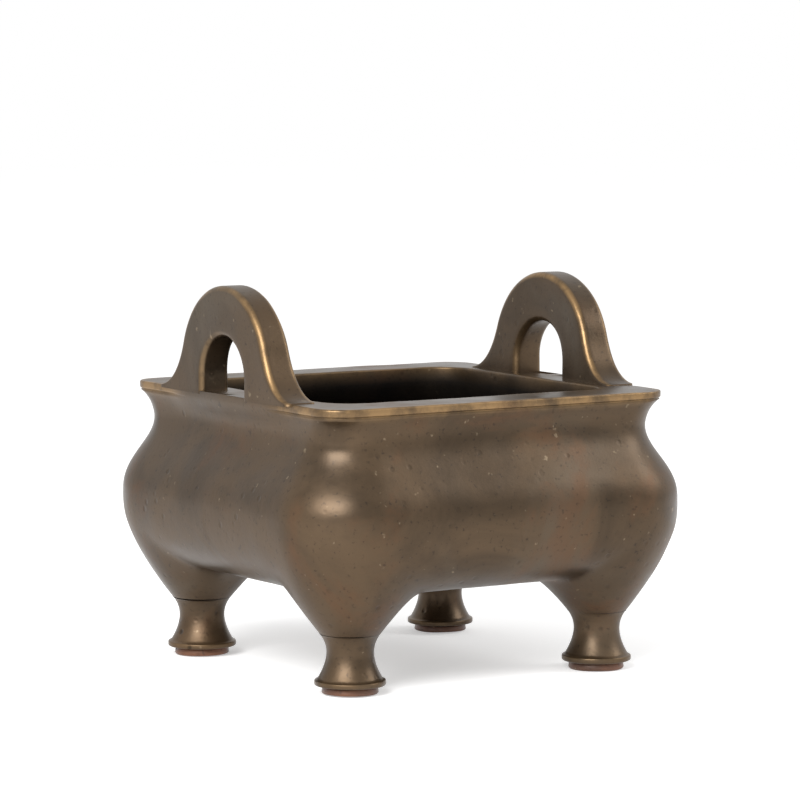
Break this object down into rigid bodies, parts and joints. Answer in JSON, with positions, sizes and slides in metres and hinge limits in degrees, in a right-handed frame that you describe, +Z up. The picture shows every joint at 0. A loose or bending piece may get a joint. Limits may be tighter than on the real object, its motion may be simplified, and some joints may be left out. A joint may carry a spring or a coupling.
{
  "type": "square incense burner",
  "caption": "Square cast bronze incense burner: a round-cornered bowl with a flat rim, on short round legs, with an arched loop handle at each side.",
  "frame": {"origin": "on the ground, under the middle of the bowl", "axes": "+Z up, X runs through both handles, -Y is the front"},
  "size_m": [0.16, 0.16, 0.138],
  "materials": {
    "bowl_bronze": "dark brown patina, semi-gloss",
    "handle_bronze": "dark brown patina, edges worn golden",
    "leg_bronze": "dark brown patina, pitted near the foot",
    "plug_metal": "rough, reddish brown"
  },
  "bodies": {
    "root": {"bowl": "bowl_bronze", "left_handle": "handle_bronze", "right_handle": "handle_bronze", "front_left_leg": "leg_bronze", "front_right_leg": "leg_bronze", "back_left_leg": "leg_bronze", "back_right_leg": "leg_bronze", "front_left_foot_plug": "plug_metal", "front_right_foot_plug": "plug_metal", "back_left_foot_plug": "plug_metal", "back_right_foot_plug": "plug_metal"}
  },
  "joints": []
}
